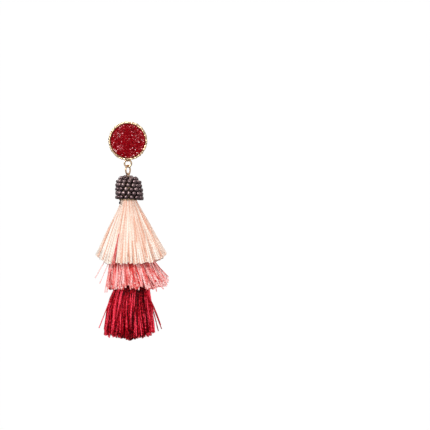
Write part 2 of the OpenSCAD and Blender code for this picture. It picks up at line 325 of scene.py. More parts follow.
def noise_node(nodes, links, place, scale, detail):
    """Noise over a place, whose scale is a socket or a number."""
    node = nodes.new("ShaderNodeTexNoise")
    links.new(place, node.inputs["Vector"])
    feed(links, scale, node.inputs["Scale"])
    node.inputs["Detail"].default_value = detail
    return node.outputs["Fac"]


def tone_node(nodes):
    """The tone of a vertex, as write_tones stores it."""
    node = nodes.new("ShaderNodeAttribute")
    node.attribute_name = "tone"
    return node.outputs["Fac"]


def casting_group():
    """Uneven casting: a slow swell with fine pits for the height, and the swell alone as a mask."""
    group = bpy.data.node_groups.get("Uneven Casting")
    if group:
        return group
    group = bpy.data.node_groups.new("Uneven Casting", "ShaderNodeTree")
    add_socket(group, "Swell Scale", default=900.0)
    add_socket(group, "Pit Scale", default=4000.0)
    add_socket(group, "Height", output=True)
    add_socket(group, "Mask", output=True)
    nodes, links = group.nodes, group.links
    inside = nodes.new("NodeGroupInput")
    outside = nodes.new("NodeGroupOutput")
    place = nodes.new("ShaderNodeTexCoord").outputs["Object"]
    swell = noise_node(nodes, links, place, inside.outputs["Swell Scale"], 3)
    pits = noise_node(nodes, links, place, inside.outputs["Pit Scale"], 2)
    links.new(math_node(nodes, links, "MULTIPLY_ADD", pits, 0.25, swell), outside.inputs["Height"])
    links.new(swell, outside.inputs["Mask"])
    return group


def twist_group():
    """Twisted thread: plies that wind round the UV map with fine fibres for the height, the thread's own tone
    with a mottle over it, and a mask of where plies meet, which thread_material darkens with painted shade."""
    group = bpy.data.node_groups.get("Twisted Thread")
    if group:
        return group
    group = bpy.data.node_groups.new("Twisted Thread", "ShaderNodeTree")
    add_socket(group, "Plies", default=2.0)
    add_socket(group, "Turns per Metre", default=700.0)
    add_socket(group, "Mottle", default=1.0)
    for name in ("Height", "Tone", "Groove"):
        add_socket(group, name, output=True)
    nodes, links = group.nodes, group.links
    inside = nodes.new("NodeGroupInput")
    outside = nodes.new("NodeGroupOutput")
    thread_map = nodes.new("ShaderNodeUVMap")
    thread_map.uv_map = "thread"
    parts = nodes.new("ShaderNodeSeparateXYZ")
    links.new(thread_map.outputs["UV"], parts.inputs["Vector"])
    round_it = math_node(nodes, links, "MULTIPLY", parts.outputs["X"], inside.outputs["Plies"])
    turns = inside.outputs["Turns per Metre"]
    along = math_node(nodes, links, "MULTIPLY_ADD", parts.outputs["Y"], turns, round_it)
    ridge = math_node(nodes, links, "PINGPONG", along, 0.5)
    ridge = math_node(nodes, links, "MULTIPLY", ridge, 2.0)
    place = nodes.new("ShaderNodeTexCoord").outputs["Object"]
    fibres = noise_node(nodes, links, place, 5000, 1)
    mottle = noise_node(nodes, links, place, 1300, 1)
    uneven = math_node(nodes, links, "SUBTRACT", mottle, 0.5)
    tone = math_node(nodes, links, "MULTIPLY_ADD", uneven, inside.outputs["Mottle"], tone_node(nodes))
    links.new(math_node(nodes, links, "MULTIPLY_ADD", fibres, 0.3, ridge), outside.inputs["Height"])
    links.new(tone, outside.inputs["Tone"])
    links.new(ridge, outside.inputs["Groove"])
    return group


def place_group(material_nodes, group, **values):
    """Places a node group in a material with its own values."""
    node = material_nodes.new("ShaderNodeGroup")
    node.node_tree = group
    set_inputs(node, **values)
    return node


def colour_ramp(nodes, links, factor, *stops):
    """A colour ramp from a factor socket through (place, colour) stops."""
    ramp = nodes.new("ShaderNodeValToRGB")
    while len(ramp.color_ramp.elements) < len(stops):
        ramp.color_ramp.elements.new(0.5)
    for element, (place, colour) in zip(ramp.color_ramp.elements, stops):
        element.position = place
        element.color = (*colour, 1)
    links.new(factor, ramp.inputs["Fac"])
    return ramp.outputs["Color"]


def bump(nodes, links, height, distance, strength=1.0):
    """A Bump node over a height socket."""
    node = nodes.new("ShaderNodeBump")
    set_inputs(node, Strength=strength, Distance=distance)
    links.new(height, node.inputs["Height"])
    return node.outputs["Normal"]


def map_range(nodes, links, value, low, high):
    """Maps 0 to 1 onto low to high."""
    node = nodes.new("ShaderNodeMapRange")
    set_inputs(node, To_Min=low, To_Max=high)
    links.new(value, node.inputs["Value"])
    return node.outputs["Result"]


def scaled(colour, factor):
    """A colour made darker or lighter."""
    return tuple(min(1.0, channel * factor) for channel in colour)


def gilt_material(name, colour, roughness, crinkle):
    """Gilt over an uneven casting. crinkle is the depth of the casting's bumps."""
    material, nodes, links, shader = new_material(name)
    grain = place_group(nodes, casting_group(), Swell_Scale=1100.0, Pit_Scale=5000.0)
    mask = grain.outputs["Mask"]
    tint = colour_ramp(nodes, links, mask, (0.3, scaled(colour, 0.82)), (0.7, scaled(colour, 1.12)))
    links.new(tint, shader.inputs["Base Color"])
    links.new(map_range(nodes, links, mask, roughness * 0.7, roughness * 1.4), shader.inputs["Roughness"])
    links.new(bump(nodes, links, grain.outputs["Height"], crinkle), shader.inputs["Normal"])
    set_inputs(shader, Metallic=1.0)
    return material


def druzy_material(colour):
    """Deep red crystal: each crystal has its own tone, and the light ones are pink under a clear gloss; the
    palest pink of the lightest ones is painted glints.
    """
    material, nodes, links, shader = new_material("druzy_red")
    tone = tone_node(nodes)
    tint = colour_ramp(
        nodes, links, tone,
        (0.0, scaled(colour, 0.3)), (0.5, colour), (0.82, scaled(colour, 1.4)), (0.9, (0.8, 0.25, 0.3)),
        (1.0, (0.95, 0.65, 0.65)),
    )
    links.new(tint, shader.inputs["Base Color"])
    links.new(map_range(nodes, links, tone, 0.25, 0.08), shader.inputs["Roughness"])
    bright = colour_ramp(nodes, links, tone, (0.64, (0, 0, 0)), (0.76, (1, 1, 1)))
    links.new(bright, shader.inputs["Coat Weight"])
    set_inputs(shader, Specular_IOR_Level=0.08, Coat_Roughness=0.05)
    return material


def bead_material(colour):
    """Gunmetal glass with a metallic lustre, whose tones go from black, which is painted shade, over its own
    plum to a pale grey, which is painted light.
    """
    material, nodes, links, shader = new_material("gunmetal_bead")
    plum = (colour[0] * 1.05, colour[1] * 0.93, colour[2] * 1.05)
    tint = colour_ramp(
        nodes, links, tone_node(nodes), (0.0, scaled(colour, 0.05)), (0.5, plum), (1.0, scaled(colour, 2.8))
    )
    links.new(tint, shader.inputs["Base Color"])
    grain = place_group(nodes, casting_group(), Swell_Scale=1500.0, Pit_Scale=6000.0)
    links.new(map_range(nodes, links, grain.outputs["Mask"], 0.27, 0.43), shader.inputs["Roughness"])
    links.new(bump(nodes, links, grain.outputs["Height"], 0.02 * MM), shader.inputs["Normal"])
    set_inputs(shader, Metallic=1.0, Coat_Weight=0.1, Coat_Roughness=0.12)
    return material


def thread_material(name, colour):
    """Silky twisted thread in one dye, a little different from thread to thread, with the painted shade and
    light that thread_tones stores and painted shade where plies meet.
    """
    dyed = DYES[name]
    light = dyed["light"]
    material, nodes, links, shader = new_material(name)
    twist = place_group(nodes, twist_group(), Plies=2.0, Turns_per_Metre=880.0, Mottle=dyed["mottle"])
    tone = twist.outputs["Tone"]
    dye = colour_ramp(nodes, links, tone, (0.05, dyed["deep"]), (0.55, colour), (1.0, light))
    # Painted shade where the plies meet
    groove_shade = colour_ramp(nodes, links, twist.outputs["Groove"], (0.0, dyed["groove_shade"]), (0.5, (1, 1, 1)))
    shaded = nodes.new("ShaderNodeMix")
    shaded.data_type = "RGBA"
    shaded.blend_type = "MULTIPLY"
    shaded.inputs["Factor"].default_value = 1.0
    links.new(dye, shaded.inputs["A"])
    links.new(groove_shade, shaded.inputs["B"])
    links.new(shaded.outputs["Result"], shader.inputs["Base Color"])
    links.new(bump(nodes, links, twist.outputs["Height"], 0.05 * MM, 0.6), shader.inputs["Normal"])
    set_inputs(shader, Roughness=0.34, Specular_IOR_Level=dyed["gloss"])
    set_inputs(shader, Sheen_Weight=dyed["sheen"], Sheen_Roughness=0.4, Sheen_Tint=(*light, 1))
    return material


# Modelling helpers


def into_scene(name, data):
    """Puts a mesh, a lamp or a camera into the scene."""
    obj = bpy.data.objects.new(name, data)
    bpy.context.scene.collection.objects.link(obj)
    return obj


def piece_from(bm, name, smooth=True):
    """Turns a bmesh into an object of the scene."""
    mesh = bpy.data.meshes.new(name)
    bm.to_mesh(mesh)
    bm.free()
    if smooth:
        mesh.polygons.foreach_set("use_smooth", [True] * len(mesh.polygons))
    return into_scene(name, mesh)


def write_tones(obj, tones):
    """Stores one number from 0 to 1 for each vertex, which the materials read."""
    layer = obj.data.attributes.new("tone", "FLOAT", "POINT")
    layer.data.foreach_set("value", np.asarray(tones, dtype=np.float32))


def spin_round(bm, geom, axis, steps):
    """Spins an outline once round an axis through the origin."""
    bmesh.ops.spin(bm, geom=geom, cent=(0, 0, 0), axis=axis, angle=math.tau, steps=steps, use_merge=True)


def spin_profile(bm, profile, steps, axis=(0, 1, 0)):
    """Spins a chain of points round an axis through the origin, and closes what it makes."""
    verts = [bm.verts.new(point) for point in profile]
    edges = [bm.edges.new(pair) for pair in zip(verts, verts[1:])]
    spin_round(bm, verts + edges, axis, steps)
    bmesh.ops.remove_doubles(bm, verts=bm.verts, dist=0.001 * MM)
    bmesh.ops.recalc_face_normals(bm, faces=bm.faces)


def add_torus(bm, centre, mean_radius, wire_radius, steps, sides=16):
    """A ring of round wire whose axis runs from the front to the back. Returns its vertices."""
    before = set(bm.verts)
    circle = bmesh.ops.create_circle(bm, cap_ends=False, radius=wire_radius, segments=sides)
    verts = circle["verts"]
    edges = list({edge for vert in verts for edge in vert.link_edges})
    bmesh.ops.translate(bm, verts=verts, vec=(mean_radius, 0, 0))
    bmesh.ops.rotate(bm, verts=verts, cent=(mean_radius, 0, 0), matrix=Matrix.Rotation(math.pi / 2, 3, "X"))
    spin_round(bm, verts + edges, (0, 0, 1), steps)
    made = [vert for vert in bm.verts if vert not in before]
    bmesh.ops.rotate(bm, verts=made, cent=(0, 0, 0), matrix=Matrix.Rotation(-math.pi / 2, 3, "X"))
    bmesh.ops.translate(bm, verts=made, vec=centre)
    return made


def joined_tubes(name, routes, across, radii, tones, sides=5):
    """One mesh of many threads. routes is threads by points by xyz, across a direction square to each
    thread, and radii and tones have a value for each point."""
    threads, points, _ = routes.shape
    ahead = np.gradient(routes, axis=1)
    ahead /= np.linalg.norm(ahead, axis=2, keepdims=True)
    over = np.cross(ahead, across[:, None, :])
    over /= np.linalg.norm(over, axis=2, keepdims=True)
    aside = np.cross(over, ahead)
    turns = math.tau * np.arange(sides) / sides
    ring = np.cos(turns)[:, None] * aside[:, :, None, :] + np.sin(turns)[:, None] * over[:, :, None, :]
    verts = routes[:, :, None, :] + ring * radii[:, :, None, None]
    index = np.arange(threads * points * sides).reshape(threads, points, sides)
    after = np.roll(index, -1, axis=2)
    walls = np.stack([index[:, :-1], after[:, :-1], after[:, 1:], index[:, 1:]], axis=-1).reshape(-1, 4)
    faces = walls.tolist() + index[:, 0, ::-1].tolist() + index[:, -1].tolist()
    mesh = bpy.data.meshes.new(name)
    mesh.from_pydata(verts.reshape(-1, 3).tolist(), [], faces)
    mesh.polygons.foreach_set("use_smooth", [True] * len(walls) + [False] * (2 * threads))
    obj = into_scene(name, mesh)
    steps = np.linalg.norm(np.diff(routes, axis=1), axis=2)
    along = np.concatenate([np.zeros((threads, 1)), np.cumsum(steps, axis=1)], axis=1)
    uneven_start = 5 * MM * np.mod(np.arange(threads) * 0.754877, 1)
    write_thread_uv(mesh, along + uneven_start[:, None], sides)
    write_tones(obj, np.repeat(np.clip(tones, 0, 1).reshape(-1), sides))
    return obj


def write_thread_uv(mesh, along, sides):
    """UV map of joined_tubes: once round the thread in u, metres along it in v."""
    threads, points = along.shape
    u = np.broadcast_to(np.arange(sides) / sides, (threads, points - 1, sides))
    low = np.broadcast_to(along[:, :-1, None], u.shape)
    high = np.broadcast_to(along[:, 1:, None], u.shape)
    step = 1 / sides
    walls = np.stack([u, low, u + step, low, u + step, high, u, high], axis=-1).reshape(-1)
    start = np.zeros((threads, sides, 2))
    end = np.zeros((threads, sides, 2))
    end[:, :, 1] = along[:, -1:]
    ends = np.concatenate([start.reshape(-1), end.reshape(-1)])
    layer = mesh.uv_layers.new(name="thread")
    layer.data.foreach_set("uv", np.concatenate([walls, ends]).astype(np.float32))


# Stud


def crinkle(place):
    """Uneven height of the gilt rim at a place: broad lumps with sharper folds and small dents on them."""
    broad = noise.noise(place * 800 + Vector((4, 0, 0)))
    folds = 1 - abs(noise.noise(place * 1500 + Vector((0, 4, 0)))) * 3
    return 0.55 * broad + 0.25 * folds + 0.15 * noise.noise(place * 3600)


def add_cup(bm, rim_y):
    """The plain cup behind the rim: a round back with a soft edge, and a thin wall."""
    back = SETTING_HIGH.y
    outer = STUD_RADIUS - 0.29 * MM
    inner = outer - CUP_WALL
    floor = back - CUP_WALL
    cup = [
        (0, back, 0), (outer - 0.5 * MM, back, 0), (outer - 0.12 * MM, back - 0.12 * MM, 0),
        (outer, back - 0.5 * MM, 0), (outer, (back + rim_y) / 2, 0), (outer, rim_y, 0),
        (inner, rim_y, 0), (inner, floor, 0), (0, floor, 0),
    ]
    spin_profile(bm, cup, 96)


def add_rim(bm, rim_y, lumps):
    """The crinkled rim: round wire, pressed into lumps, that is thicker and lies further in at the top."""
    rim_r = STUD_RADIUS - 0.48 * MM
    for vert in add_torus(bm, (0, rim_y, 0), rim_r, RIM_WIRE, 360):
        angle = math.atan2(vert.co.z, vert.co.x)
        core = Vector((math.cos(angle) * rim_r, rim_y, math.sin(angle) * rim_r))
        lump = 0.35 * math.cos(angle * lumps) * noise.noise(core * 300) + 0.24 * math.sin(angle)
        height = (0.93 + 0.55 * crinkle(vert.co) + lump) * (vert.co - core)
        drift = 0.12 * MM * noise.noise(core * 700 + Vector((9, 0, 0))) + 0.1 * MM * math.sin(angle)
        vert.co = core * (1 - drift / rim_r) + Vector((0, rim_y * drift / rim_r, 0)) + height


def add_loop(bm):
    """The small loop under the cup, and the solder that holds it."""
    middle_z = SETTING_LOW.z + LOOP_RADIUS + LOOP_WIRE
    add_torus(bm, (0, HANG_Y, middle_z), LOOP_RADIUS, LOOP_WIRE, 64)
    solder = bmesh.ops.create_icosphere(bm, subdivisions=3, radius=0.55 * MM)["verts"]
    bmesh.ops.scale(bm, verts=solder, vec=(2.4, 0.9, 0.75))
    bmesh.ops.translate(bm, verts=solder, vec=(0, HANG_Y, middle_z + LOOP_RADIUS - 0.25 * MM))


def build_setting(settings, gilt):
    """The gilt cup with its crinkled rim, and the loop that is soldered under it."""
    rim_y = SETTING_LOW.y + 0.67 * MM
    bm = bmesh.new()
    add_cup(bm, rim_y)
    add_rim(bm, rim_y, settings.lumps)
    add_loop(bm)
    setting = piece_from(bm, "gilt_setting")
    dress(setting, gilt)
    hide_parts("setting")
    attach(setting, "stud")


def dome_y(share):
    """Place of the dome's face from front to back, at a share of its radius."""
    edge_y = STONE_LOW.y + 1.75 * MM
    top_y = STONE_LOW.y + 0.45 * MM
    return edge_y - (edge_y - top_y) * (1 - share**2.2)


def add_dome(bm):
    """The polished dome under the crystals, with a soft edge and a flat back."""
    radius = STONE_RADIUS
    edge_y = dome_y(1)
    back_y = STONE_HIGH.y
    dome = [(radius * 0.94 * step / 10, dome_y(step / 10), 0) for step in range(10)]
    dome += [(radius * 0.985, edge_y + 0.12 * MM, 0), (radius, edge_y + 0.45 * MM, 0)]
    dome += [(radius, back_y, 0), (0, back_y, 0)]
    spin_profile(bm, dome, 72)


def build_druzy(settings, stone):
    """The druzy: a low polished dome with a crust of pointed crystals in a sunflower's order."""
    rng = np.random.default_rng(12)
    sunflower_turn = math.radians(137.508)
    crust_radius = STONE_RADIUS * 0.93
    tilt = 36
    bm = bmesh.new()
    add_dome(bm)
    tones = [0.45] * len(bm.verts)
    for i in range(settings.crystals):
        share = math.sqrt((i + 0.5) / settings.crystals)
        turn = i * sunflower_turn + rng.normal(0, 0.06)
        place = crust_radius * share * (1 + 0.035 * max(0.0, -math.sin(turn)))
        size = settings.crystal_radius * rng.uniform(0.7, 1.25)
        height = size * rng.uniform(1.5, 2.3)
        lean = Matrix.Rotation(math.radians(rng.normal(0, tilt)), 4, "X")
        lean = lean @ Matrix.Rotation(math.radians(rng.normal(0, tilt)), 4, "Z")
        middle_y = dome_y(share) + size * 0.2
        spot = Matrix.Translation((place * math.cos(turn), middle_y, place * math.sin(turn)))
        upright = Matrix.Rotation(math.pi / 2, 4, "X") @ Matrix.Rotation(rng.uniform(0, math.tau), 4, "Z")
        point = size * rng.uniform(0.1, 0.5)
        crystal = bmesh.ops.create_cone(
            bm, cap_ends=True, segments=6, radius1=size, radius2=point, depth=height,
            matrix=spot @ lean @ upright,
        )
        # Each crystal's own tone, made lighter near the edge: painted sheen along the stone's edge
        tone = rng.beta(2.0, 2.2) + 0.2 * max(0.0, share - 0.85) / 0.15
        tones += [float(np.clip(tone, 0, 1))] * len(crystal["verts"])
    druzy = piece_from(bm, "druzy_crust", smooth=False)
    write_tones(druzy, tones)
    dress(druzy, stone)
    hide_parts("druzy_stone")
    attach(druzy, "stud")


# Cap


def bead_mesh(settings):
    """One seed bead: a ring of squarish section with a drilled hole along Z."""
    half = settings.bead_height / 2
    outer = settings.bead_width / 2
    mid = (outer + settings.hole_radius) / 2
    bulge = (outer - settings.hole_radius) / 2
    points = 10
    power = 2.5
    profile = []
    for step in range(points):
        turn = math.tau * step / points
        squared = 1 / (abs(math.cos(turn)) ** power + abs(math.sin(turn)) ** power) ** (1 / power)
        profile.append((mid + bulge * squared * math.cos(turn), 0, half * squared * math.sin(turn)))
    profile.append(profile[0])
    bm = bmesh.new()
    spin_profile(bm, profile, 12, axis=(0, 0, 1))
    mesh = bpy.data.meshes.new("seed_bead")
    bm.to_mesh(mesh)
    bm.free()
    return mesh


def add_bead(bm, bead, matrix):
    """Places a seed bead and returns its vertices."""
    before = len(bm.verts)
    bm.from_mesh(bead)
    bm.verts.ensure_lookup_table()
    bmesh.ops.transform(bm, matrix=matrix, verts=bm.verts[before:])
    return bm.verts[before:]


def add_thread_end(bm, place):
    """The knotted end of the beading thread, which hangs out below the lowest row."""
    turned = Matrix.Translation(place) @ Matrix.Rotation(math.radians(35), 4, "Y")
    knot = bmesh.ops.create_icosphere(bm, subdivisions=2, radius=0.46 * MM, matrix=turned)["verts"]
    bmesh.ops.scale(bm, verts=knot, vec=(0.85, 0.8, 1.25), space=Matrix.Translation(-place))
    for vert in knot:
        vert.co += 0.06 * MM * noise.noise(vert.co * 3000) * (vert.co - place).normalized()
    middle = place + Vector((0.25, 0.1, 1.1)) * MM
    bmesh.ops.create_cone(
        bm, cap_ends=True, segments=8, radius1=0.22 * MM, radius2=0.17 * MM, depth=2.0 * MM,
        matrix=Matrix.Translation(middle) @ Matrix.Rotation(math.radians(12), 4, "Y"),
    )


def build_beads(settings, material):
    """The rows of seed beads round the bell. The rows slope down to the right, and the lower ones lie further
    right than the upper ones. Each bead gets painted shade below and on the side of the bell, and painted
    light on its top."""
    rng = np.random.default_rng(31)
    bead = bead_mesh(settings)
    low_z = CAP_LOW.z + 0.8 * MM
    row_r = CAP_RADIUS - 1.1 * MM
    low_aside = 0.6 * MM
    top_aside = 0.15 * MM
    slope = 0.05
    bm = bmesh.new()
    tones = []
    for row in BEAD_ROWS:
        for i in range(row["beads"]):
            turn = -math.pi / 2 + math.tau * (i + row["turn"]) / row["beads"] + rng.normal(0, 0.012)
            away = Vector((math.cos(turn), math.sin(turn), 0))
            centre = Vector((0, HANG_Y, 0)) + away * (row_r * row["out"] + rng.normal(0, 0.04 * MM))
            centre.z = low_z + ROWS_HEIGHT * row["up"] + rng.normal(0, 0.05 * MM) - slope * centre.x
            centre.x += low_aside + (top_aside - low_aside) * row["up"]
            lean = math.radians(row["lean"] + rng.normal(0, 4))
            tilt = Matrix.Rotation(turn, 4, "Z") @ Matrix.Rotation(lean, 4, "Y")
            size = (rng.uniform(0.95, 1.03), rng.uniform(0.95, 1.03), rng.uniform(0.92, 1.05), 1)
            verts = add_bead(bm, bead, Matrix.Translation(centre) @ tilt @ Matrix.Diagonal(size))
            own = rng.uniform(0.35, 0.65)
            for vert in verts:
                offset = (vert.co - centre) / (settings.bead_width / 2)
                # Each bead's own tone, with painted light on its top and outer side and painted shade below
                # and on the side of the bell
                tones.append(float(np.clip(own + 0.4 * offset.z + 0.25 * offset.dot(away) - 0.12, 0, 1)))
    before = len(bm.verts)
    add_thread_end(bm, Vector((-3.2 * MM, HANG_Y - 3.3 * MM, low_z - 2.2 * MM)))
    tones += [0.05] * (len(bm.verts) - before)
    beads = piece_from(bm, "seed_beads")
    write_tones(beads, tones)
    dress(beads, material)
    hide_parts("bead_cap")
    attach(beads, "drop")


# Threads


def lay_threads(tier, count, rng, parting):
    """Lays threads round a tier: turn is each thread's place round it at the neck and tip_turn at the tips,
    layer its share of the radius, and yarn and clump its strand and its bundle. Strands gather in bundles
    towards their tips, some bundles sink in, and some of the threads wander across the others."""
    yarns, clumps = tier["yarns"], tier["clumps"]
    lay = SimpleNamespace()
    lay.turn = math.tau * (np.arange(count) + rng.uniform(0, 1, count)) / count
    lay.layer = rng.uniform(tier["inner"] ** (1 / tier["skin"]), 1, count) ** tier["skin"]
    lay.yarn = np.floor(lay.turn / math.tau * yarns).astype(int)
    yarn_turn = (np.arange(yarns) + 0.5) / yarns * math.tau
    clump_of = np.floor(yarn_turn / math.tau * clumps).astype(int)
    lay.clump = clump_of[lay.yarn]
    lay.off_middle = lay.turn - yarn_turn[lay.yarn]

    middle = (np.arange(clumps) + 0.5 + rng.normal(0, 0.16, clumps)) / clumps * math.tau
    gather = rng.uniform(0.3, 1.2, clumps) * tier["gather"]
    sweep = rng.normal(0, tier["crossing"] * 0.8, clumps)
    yarn_tip = yarn_turn + (middle[clump_of] - yarn_turn) * gather[clump_of] + sweep[clump_of]
    yarn_tip = yarn_tip + rng.normal(0, tier["crossing"] * 0.6, yarns)
    sunk = rng.uniform(0, 1, clumps) ** 1.5 * tier["recess"]
    sunk = np.clip(sunk[clump_of] + rng.normal(0, tier["recess"] * 0.3, yarns), 0, 1)
    lay.sunk = sunk[lay.yarn]
    longer = rng.normal(0, tier["ragged"] * 0.6, clumps)[clump_of]
    longer = longer + rng.normal(0, tier["ragged"] * 0.5, yarns)
    lay.longer = longer[lay.yarn]
    tint = rng.normal(0, tier["tint"], clumps)[clump_of] + rng.normal(0, tier["streak"], yarns)
    lay.tint = tint[lay.yarn]

    wanderers = rng.random(count) < 0.16
    crossing = rng.normal(0, tier["crossing"], count) * np.where(wanderers, 3.0, 0.3)
    lay.tip_turn = yarn_tip[lay.yarn] + lay.off_middle * tier["loose"] + crossing
    if parting:
        beside = np.mod(lay.turn - parting["turn"] + math.pi, math.tau) - math.pi
        pushed = np.sign(beside) * parting["width"] * np.exp(-((beside / parting["reach"]) ** 2))
        lay.tip_turn = lay.tip_turn + pushed
    return lay


def thread_lengths(tier, lay, rng):
    """How far each thread hangs down from the neck: the tier's rounded, slanting cut and its unevenness."""
    sideways = np.abs(np.cos(lay.tip_turn)) * lay.layer
    cut = tier["side"] + (1 - tier["side"]) * (1 - sideways ** tier["corner"])
    drop = tier["length"] * MM * cut
    drop = drop - tier["low_left"] / 2 * MM * np.cos(lay.tip_turn) * lay.layer
    drop = drop + lay.longer * MM + rng.normal(-0.7, 0.45, lay.turn.size) * tier["ragged"] * MM
    drop = drop - tier["tuck"] * (1 - lay.layer) * MM
    beyond = tier["longest"] - rng.uniform(0, 0.6, lay.turn.size)
    return np.minimum(drop, tier["length"] * MM + beyond * MM)


def neck_height(tier, low):
    """Height of a tier's neck above the origin, from the low corner of its solid's box."""
    return low.z + tier["length"] * MM + 0.2 * MM


def hanging_routes(tier, lay, low, high, rng):
    """Routes of the threads from the neck to the tips, spread to the box of their solid tier."""
    count = lay.turn.size
    neck = tier["neck"] * MM
    half_w = (high.x - low.x) / 2 + tier["wider"] * MM
    half_d = (high.y - low.y) / 2 - 0.3 * MM
    angle = lay.turn[:, None] + (lay.tip_turn - lay.turn)[:, None] * SHARES**1.2
    to_right = 0.5 + 0.5 * np.cos(lay.tip_turn)[:, None]
    out = np.interp(SHARES, *np.array(tier["left"]).T) * (1 - to_right)
    out = out + np.interp(SHARES, *np.array(tier["right"]).T) * to_right
    raised = 1 - lay.sunk[:, None] * np.minimum(SHARES * 2.5, 1)
    layer_now = lay.layer[:, None] ** (0.5 + 0.5 * SHARES) * raised
    half_x = (neck + (half_w - neck) * out) * layer_now
    half_y = (neck + (half_d - neck) * out) * layer_now
    drop = thread_lengths(tier, lay, rng)

    phase = rng.uniform(0, math.tau, (count, 2, 1))
    bend = SHARES * (3 + 3 * rng.random((count, 1)))
    wave = tier["wave"] * MM * np.minimum(SHARES * 3, 1)
    shift = tier["shift"] * MM
    tip_x = (high.x + low.x) / 2 + tier["aside"] * MM
    places = (shift, shift + tier["drift"] * MM, (shift + tip_x) / 2, tip_x)
    middle_x = np.interp(SHARES, (0, 0.15, 0.5, 1), places)
    x = middle_x + half_x * np.cos(angle) + wave * np.sin(bend + phase[:, 0])
    y = HANG_Y + half_y * np.sin(angle) + wave * np.sin(bend + phase[:, 1])
    z = neck_height(tier, low) - drop[:, None] * SHARES
    return np.stack([x, y, z], axis=-1)


def head_routes(tier, lay, low):
    """Routes of the threads from beside the cord over the head's round top, at two points above the neck."""
    shift = tier["shift"] * MM
    reach = tier["neck"] * MM * lay.layer[:, None] ** 0.5
    radius = np.concatenate([reach * 0.35 + 0.6 * MM, reach * 0.98], axis=1)
    rise = tier["head"] * MM * np.array([[0.97, 0.6]]) * (0.8 + 0.2 * lay.layer[:, None])
    x = shift * np.array([[0.5, 1]]) + radius * np.cos(lay.turn)[:, None]
    y = HANG_Y + radius * np.sin(lay.turn)[:, None]
    return np.stack([x, y, neck_height(tier, low) + rise], axis=-1)


def thread_tones(tier, lay, rng):
    """Tones of the threads at each point of their routes: the dye's random differences, with painted shade
    and painted light on them. The head's two points have the neck's painted shade.
    """
    count = lay.turn.size
    to_side = np.abs(np.cos(lay.turn))
    hollow = max(tier["inner"], 0.55)
    depth = np.clip((lay.layer - hollow) / (1 - hollow), 0, 1) - 1
    # Painted shade on the inner threads and on the bundles that sink in
    tones = tier["tone"] + lay.tint + rng.normal(0, 0.18, count) + tier["depth"] * depth - 1.4 * lay.sunk
    # Painted light and shade on the sides of the tier
    tones = tones + tier["painted_light_slant"] * np.cos(lay.turn) + tier["sides"] * to_side
    # Broad stripes of painted highlight and shade
    tones = tones + tier["painted_light_bands"] * np.cos(BANDS * (lay.turn - BANDS_TURN))

    # Painted shade at the neck, which fades down the share of the length in covered
    covered = np.concatenate([np.ones((1, 2)), np.clip(1 - SHARES / tier["covered"], 0, 1)], axis=1)
    shade = tier["shade"] * rng.uniform(0.1, 1.9, tier["clumps"])[lay.clump // 2]
    # Painted shade in the furrows between strands, and between pairs of bundles near the neck
    yarn_edge = np.abs(lay.off_middle) / math.tau * tier["yarns"] * 2
    pair_edge = np.abs(np.mod(lay.turn / math.tau * tier["clumps"] / 2, 1) * 2 - 1)
    furrow_shade_mask = yarn_edge[:, None] ** 2.5 * (1 - 0.6 * covered) + 0.7 * pair_edge[:, None] ** 4 * covered
    furrow_shade = tier["furrow_shade"] * (1 - tier["faint"] * to_side)
    # Painted shade on the tips at the front and the back
    tips = np.clip(SHARES * 5 - 4, 0, 1) * (1 - to_side)[:, None]
    tips = np.concatenate([np.zeros((count, 2)), tips], axis=1)
    return tones[:, None] - shade[:, None] * covered - tier["tips"] * tips - furrow_shade[:, None] * furrow_shade_mask


def stray_routes(routes, points=10):
    """Evens out the routes of single threads, given as CORAL_STRAYS gives them."""
    evened = []
    for route in routes:
        marks = np.array(route, dtype=float)
        steps = np.concatenate([[0], np.cumsum(np.linalg.norm(np.diff(marks, axis=0), axis=1))])
        at = np.linspace(0, steps[-1], points)
        evened.append(np.stack([np.interp(at, steps, marks[:, i]) for i in range(3)], axis=-1))
    evened = np.array(evened)
    for _ in range(2):
        evened[:, 1:-1] = (evened[:, :-2] + 2 * evened[:, 1:-1] + evened[:, 2:]) / 4
    return evened * MM + np.array([0, HANG_Y, 0])


def build_tier(node, slot, settings, material, count, seed, strays=(), parting=None):
    """One tier of threads, with its single threads that stray."""
    tier = TIERS[node]
    low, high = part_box(node)
    rng = np.random.default_rng(seed)
    lay = lay_threads(tier, count, rng, parting)
    hanging = hanging_routes(tier, lay, low, high, rng)
    tones = thread_tones(tier, lay, rng)
    routes = np.concatenate([head_routes(tier, lay, low), hanging], axis=1)
    across = np.stack([-np.sin(lay.turn), np.cos(lay.turn), np.zeros(count)], axis=-1)
    thickness = settings.thickness * rng.uniform(0.85, 1.12, count)
    radii = thickness[:, None] / 2 * (1 + tier["open"] * np.linspace(0, 1, routes.shape[1]))
    if strays:
        stray_tones, marks = zip(*strays)
        more = stray_routes(marks)
        routes = np.concatenate([routes, more])
        across = np.concatenate([across, np.tile([0.0, 1.0, 0.0], (len(more), 1))])
        radii = np.concatenate([radii, np.full(more.shape[:2], settings.thickness * 0.52)])
        tones = np.concatenate([tones, np.repeat(np.array(stray_tones)[:, None], more.shape[1], axis=1)])
    threads = joined_tubes(slot + "s", routes, across, radii, tones)
    dress(threads, material)
    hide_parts(node)
    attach(threads, "drop")


